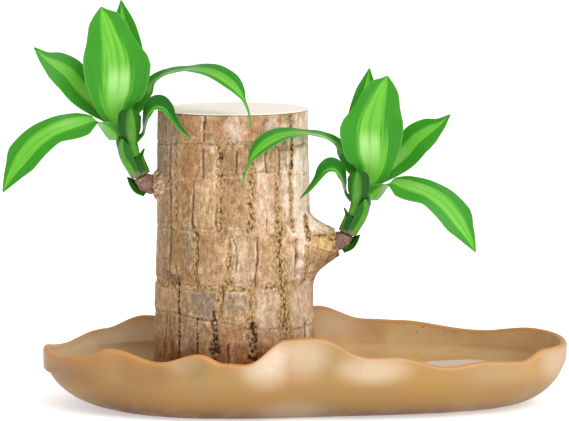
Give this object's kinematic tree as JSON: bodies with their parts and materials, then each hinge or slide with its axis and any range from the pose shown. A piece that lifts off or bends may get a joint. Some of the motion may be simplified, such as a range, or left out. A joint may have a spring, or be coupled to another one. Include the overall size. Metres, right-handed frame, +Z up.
{
  "type": "potted brazilian wood plant",
  "caption": "Cut brazilian wood log with a leafy sprout on either side, standing upright in a long shallow stoneware tray of water with a wavy rim.",
  "frame": {"origin": "centre of the tray's flat foot, on the surface that it stands on", "axes": "+Z up, +X along the tray's length to the right, -Y toward the viewer"},
  "size_m": [0.3669, 0.1703, 0.2646],
  "materials": {
    "tan_stoneware": "satin",
    "water": "polished",
    "dracaena_bark": "matte",
    "sealing_wax": "satin",
    "bud_scales": "matte",
    "sheath_green": "satin",
    "leaf_green": "satin"
  },
  "bodies": {
    "root": {"dish": "tan_stoneware", "water": "water", "trunk": "dracaena_bark", "wax_seal": "sealing_wax", "left_collar": "bud_scales", "left_stem": "sheath_green", "left_bract": "sheath_green", "left_sheath_inner": "sheath_green", "left_sheath_front": "sheath_green", "left_sheath_upper": "sheath_green", "left_leaf_droop": "leaf_green", "left_leaf_curl": "leaf_green", "left_leaf_side": "leaf_green", "left_leaf_arch": "leaf_green", "left_leaf_back": "leaf_green", "left_leaf_front": "leaf_green", "right_collar": "bud_scales", "right_stem": "sheath_green", "right_bract": "sheath_green", "right_sheath_inner": "sheath_green", "right_sheath_front": "sheath_green", "right_sheath_upper": "sheath_green", "right_leaf_droop": "leaf_green", "right_leaf_curl": "leaf_green", "right_leaf_side": "leaf_green", "right_leaf_arch": "leaf_green", "right_leaf_back": "leaf_green", "right_leaf_front": "leaf_green"}
  },
  "joints": []
}
